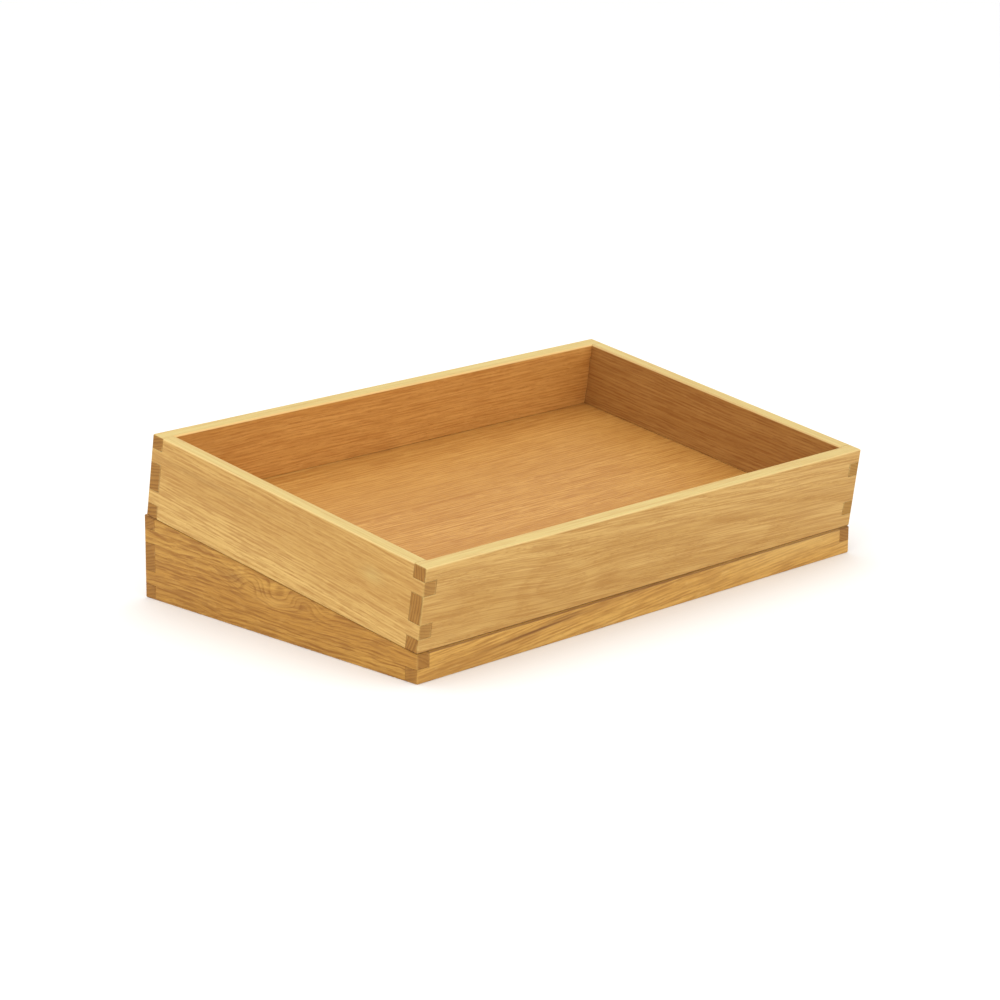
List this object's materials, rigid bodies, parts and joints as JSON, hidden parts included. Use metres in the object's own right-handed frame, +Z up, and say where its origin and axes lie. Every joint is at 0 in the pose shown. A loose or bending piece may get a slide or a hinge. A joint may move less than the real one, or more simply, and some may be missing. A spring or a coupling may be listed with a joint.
{
  "type": "display tray",
  "caption": "Shallow finger-jointed oak tray that leans forward on a wedge-shaped oak riser, to show bread and pastries on a counter.",
  "frame": {"origin": "on the counter, under the middle of the box that holds tray and riser together", "axes": "+Z up; +X along the long side, to the right of someone who faces the low front; -Y is the low front, towards which the tray leans"},
  "size_m": [0.53, 0.3349, 0.1429],
  "materials": {
    "tray_oak": "oiled, satin",
    "riser_oak": "oiled, satin",
    "base_panel_oak": "oiled, satin"
  },
  "bodies": {
    "riser": {"riser_front_board": "riser_oak", "riser_back_board": "riser_oak", "riser_left_board": "riser_oak", "riser_right_board": "riser_oak"},
    "tray": {"tray_front_board": "tray_oak", "tray_back_board": "tray_oak", "tray_left_board": "tray_oak", "tray_right_board": "tray_oak", "tray_base_panel": "base_panel_oak"}
  },
  "joints": [
    {"name": "tray_lift", "type": "slide", "parent": "riser", "child": "tray", "axis": [0, 0, 1], "range_m": [0, 0.12]}
  ]
}
